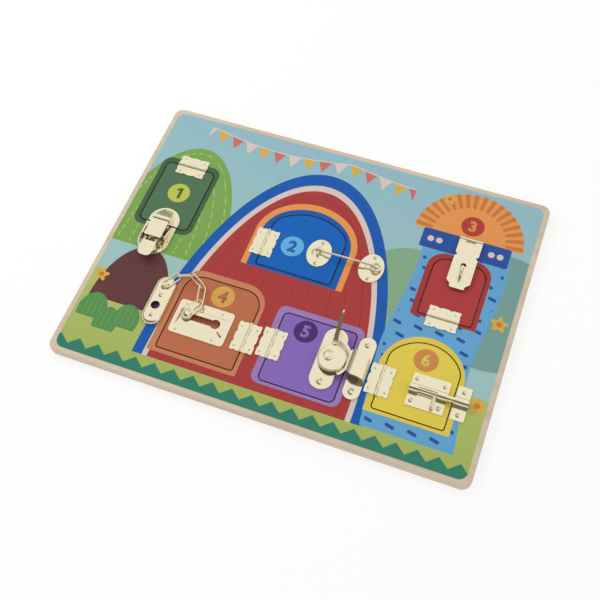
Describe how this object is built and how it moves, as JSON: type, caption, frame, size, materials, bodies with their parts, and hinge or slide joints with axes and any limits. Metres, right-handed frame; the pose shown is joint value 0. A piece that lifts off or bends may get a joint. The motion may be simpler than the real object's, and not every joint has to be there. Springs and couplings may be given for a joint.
{
  "type": "wooden latch board",
  "caption": "Flat wooden busy board with numbered hinged doors, each held by a different brass latch: toggle, hook and eye, hasp, door chain, cam and barrel bolt.",
  "frame": {"origin": "centre of the board's outline on its back face", "axes": "+X along the long side towards the bolt's side, +Y up the picture along the short side, +Z out of the painted face"},
  "size_m": [0.4, 0.3, 0.0335],
  "materials": {
    "printed_board": "satin",
    "bare_wood": "matte",
    "door_1_paint": "satin",
    "door_2_paint": "satin",
    "door_3_paint": "satin",
    "door_4_paint": "satin",
    "door_5_paint": "satin",
    "door_6_paint": "satin",
    "pale_brass": "polished"
  },
  "bodies": {
    "board": {"front_panel": "printed_board", "back_panel": "bare_wood", "hinge_1_board_leaf": "pale_brass", "hinge_2_board_leaf": "pale_brass", "hinge_3_board_leaf": "pale_brass", "hinge_4_board_leaf": "pale_brass", "hinge_5_board_leaf": "pale_brass", "hinge_6_board_leaf": "pale_brass", "hinge_pins": "pale_brass", "board_nails": "pale_brass", "board_screws": "pale_brass", "toggle_base": "pale_brass", "toggle_base_pin": "pale_brass", "eye_plate": "pale_brass", "hasp_leaf": "pale_brass", "hasp_pin": "pale_brass", "chain_base": "pale_brass", "cam_keeper": "pale_brass", "bolt_keeper": "pale_brass"},
    "door_1": {"door_1": "door_1_paint", "hinge_1_door_leaf": "pale_brass", "door_1_nails": "pale_brass", "toggle_catch": "pale_brass"},
    "door_2": {"door_2": "door_2_paint", "hinge_2_door_leaf": "pale_brass", "door_2_nails": "pale_brass", "door_2_screws": "pale_brass", "hook_plate": "pale_brass"},
    "door_3": {"door_3": "door_3_paint", "hinge_3_door_leaf": "pale_brass", "door_3_nails": "pale_brass", "hasp_staple": "pale_brass"},
    "door_4": {"door_4": "door_4_paint", "hinge_4_door_leaf": "pale_brass", "door_4_nails": "pale_brass", "slot_plate": "pale_brass"},
    "door_5": {"door_5": "door_5_paint", "hinge_5_door_leaf": "pale_brass", "door_5_nails": "pale_brass", "door_5_screws": "pale_brass", "cam_base": "pale_brass", "cam_rivet": "pale_brass"},
    "door_6": {"door_6": "door_6_paint", "hinge_6_door_leaf": "pale_brass", "door_6_nails": "pale_brass", "door_6_screws": "pale_brass", "bolt_plate": "pale_brass"},
    "toggle_lever": {"toggle_lever": "pale_brass", "toggle_claw_pin": "pale_brass"},
    "toggle_claw": {"toggle_claw": "pale_brass"},
    "hook_rod": {"hook_rod": "pale_brass"},
    "hasp_strap": {"hasp_strap": "pale_brass"},
    "chain_knob": {"chain_knob": "pale_brass"},
    "chain_link_1": {"chain_link_1": "pale_brass"},
    "chain_link_2": {"chain_link_2": "pale_brass"},
    "chain_link_3": {"chain_link_3": "pale_brass"},
    "chain_link_4": {"chain_link_4": "pale_brass"},
    "chain_link_5": {"chain_link_5": "pale_brass"},
    "cam_lever": {"cam_lever": "pale_brass"},
    "bolt": {"bolt": "pale_brass"}
  },
  "joints": [
    {"name": "door_1_hinge", "type": "hinge", "parent": "board", "child": "door_1", "pos_m": [-0.1535, 0.082, 0.0103], "axis": [1, 0, 0], "range_deg": [-104, 0]},
    {"name": "door_2_hinge", "type": "hinge", "parent": "board", "child": "door_2", "pos_m": [-0.051, 0.0215, 0.0103], "axis": [0, 1, 0], "range_deg": [-104, 0]},
    {"name": "door_3_hinge", "type": "hinge", "parent": "board", "child": "door_3", "pos_m": [0.1342, -0.0035, 0.0103], "axis": [1, 0, 0], "range_deg": [0, 104]},
    {"name": "door_4_hinge", "type": "hinge", "parent": "board", "child": "door_4", "pos_m": [-0.0293, -0.0804, 0.0103], "axis": [0, 1, 0], "range_deg": [0, 104]},
    {"name": "door_5_hinge", "type": "hinge", "parent": "board", "child": "door_5", "pos_m": [-0.005, -0.0784, 0.0103], "axis": [0, 1, 0], "range_deg": [-104, 0]},
    {"name": "door_6_hinge", "type": "hinge", "parent": "board", "child": "door_6", "pos_m": [0.099, -0.0804, 0.0103], "axis": [0, 1, 0], "range_deg": [-104, 0]},
    {"name": "toggle_lever_hinge", "type": "hinge", "parent": "board", "child": "toggle_lever", "pos_m": [-0.154, -0.007, 0.014], "axis": [1, 0, 0], "range_deg": [-60, 0]},
    {"name": "toggle_claw_hinge", "type": "hinge", "parent": "toggle_lever", "child": "toggle_claw", "pos_m": [-0.154, -0.016, 0.013], "axis": [1, 0, 0], "range_deg": [0, 72]},
    {"name": "hook_rod_hinge", "type": "hinge", "parent": "door_2", "child": "hook_rod", "pos_m": [0.0032, 0.0267, 0.015], "axis": [0, 1, 0], "range_deg": [-110, 0]},
    {"name": "hasp_strap_hinge", "type": "hinge", "parent": "board", "child": "hasp_strap", "pos_m": [0.137, 0.086, 0.0112], "axis": [1, 0, 0], "range_deg": [-150, 0]},
    {"name": "chain_knob_slide", "type": "slide", "parent": "board", "child": "chain_knob", "axis": [1, 0, 0], "range_m": [0, 0.0285]},
    {"name": "cam_lever_turn", "type": "hinge", "parent": "door_5", "child": "cam_lever", "pos_m": [0.049, -0.0755, 0.013], "axis": [0, 0, 1], "range_deg": [0, 120]},
    {"name": "bolt_slide", "type": "slide", "parent": "door_6", "child": "bolt", "axis": [-1, 0, 0], "range_m": [0, 0.013]},
    {"name": "chain_link_1_swing", "type": "hinge", "parent": "board", "child": "chain_link_1", "pos_m": [-0.121, -0.0563, 0.0145], "axis": [0, 0, 1], "range_deg": [-44.46, 0]},
    {"name": "chain_link_2_swing", "type": "hinge", "parent": "board", "child": "chain_link_2", "pos_m": [-0.15221, -0.07961, 0.0145], "axis": [0, 0, 1], "range_deg": [-12.58, 0]},
    {"name": "chain_link_3_swing", "type": "hinge", "parent": "board", "child": "chain_link_3", "pos_m": [-0.05881, -0.0194, 0.0145], "axis": [0, 0, 1], "range_deg": [0, 18.03]},
    {"name": "chain_link_4_swing", "type": "hinge", "parent": "board", "child": "chain_link_4", "pos_m": [-0.07341, -0.03868, 0.0145], "axis": [0, 0, 1], "range_deg": [0, 47.28]},
    {"name": "chain_link_5_swing", "type": "hinge", "parent": "board", "child": "chain_link_5", "pos_m": [-0.07492, -0.01809, 0.0145], "axis": [0, 0, 1], "range_deg": [0, 26.31]}
  ],
  "couplings": [
    {"joint": "toggle_claw_hinge", "follows": "toggle_lever_hinge", "ratio": -1.2},
    {"joint": "chain_link_1_swing", "follows": "chain_knob_slide", "rad_per_m": -27.222},
    {"joint": "chain_link_2_swing", "follows": "chain_knob_slide", "rad_per_m": -7.6954},
    {"joint": "chain_link_3_swing", "follows": "chain_knob_slide", "rad_per_m": 11.036},
    {"joint": "chain_link_4_swing", "follows": "chain_knob_slide", "rad_per_m": 28.95},
    {"joint": "chain_link_5_swing", "follows": "chain_knob_slide", "rad_per_m": 16.104}
  ]
}
